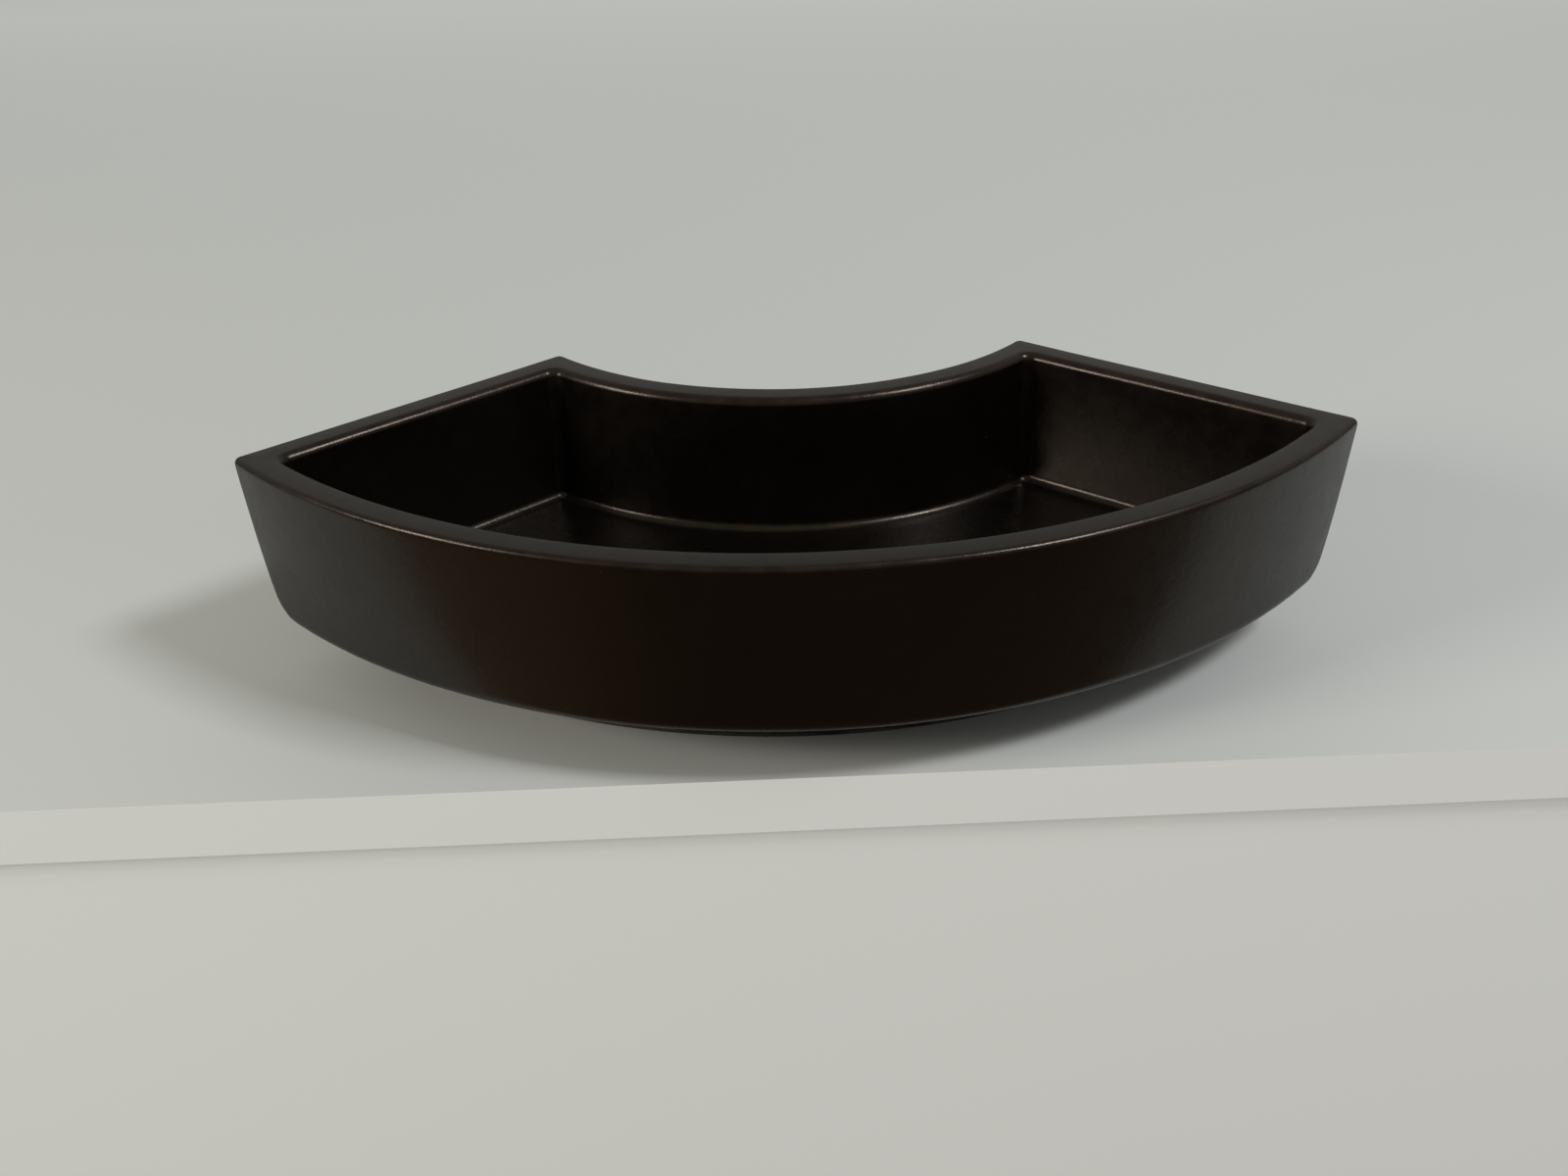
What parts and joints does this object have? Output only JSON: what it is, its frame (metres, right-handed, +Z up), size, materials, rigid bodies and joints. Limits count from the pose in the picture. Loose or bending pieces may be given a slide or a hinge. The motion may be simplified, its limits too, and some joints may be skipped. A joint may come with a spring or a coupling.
{
  "type": "fan-shaped flower vessel",
  "caption": "Low fan-shaped dish for arranging flowers, in satin black glazed clay, with upright walls, a rounded rim, a flat floor and a set-in foot ring.",
  "frame": {"origin": "centre of the bounding box on the surface that the dish stands on", "axes": "+X along the dish, towards its right end; +Y from the long front arc to the short back arc; +Z up"},
  "size_m": [0.3274, 0.1497, 0.0715],
  "materials": {
    "satin_black_glaze": "satin",
    "foot_clay": "matte"
  },
  "bodies": {
    "root": {"front_wall": "satin_black_glaze", "back_wall": "satin_black_glaze", "left_end_wall": "satin_black_glaze", "right_end_wall": "satin_black_glaze", "floor_slab": "satin_black_glaze", "corner_coil_front_left": "satin_black_glaze", "corner_coil_front_right": "satin_black_glaze", "corner_coil_back_left": "satin_black_glaze", "corner_coil_back_right": "satin_black_glaze", "floor_coil_front": "satin_black_glaze", "floor_coil_back": "satin_black_glaze", "floor_coil_left": "satin_black_glaze", "floor_coil_right": "satin_black_glaze", "foot_front": "foot_clay", "foot_back": "foot_clay", "foot_left": "foot_clay", "foot_right": "foot_clay"}
  },
  "joints": []
}
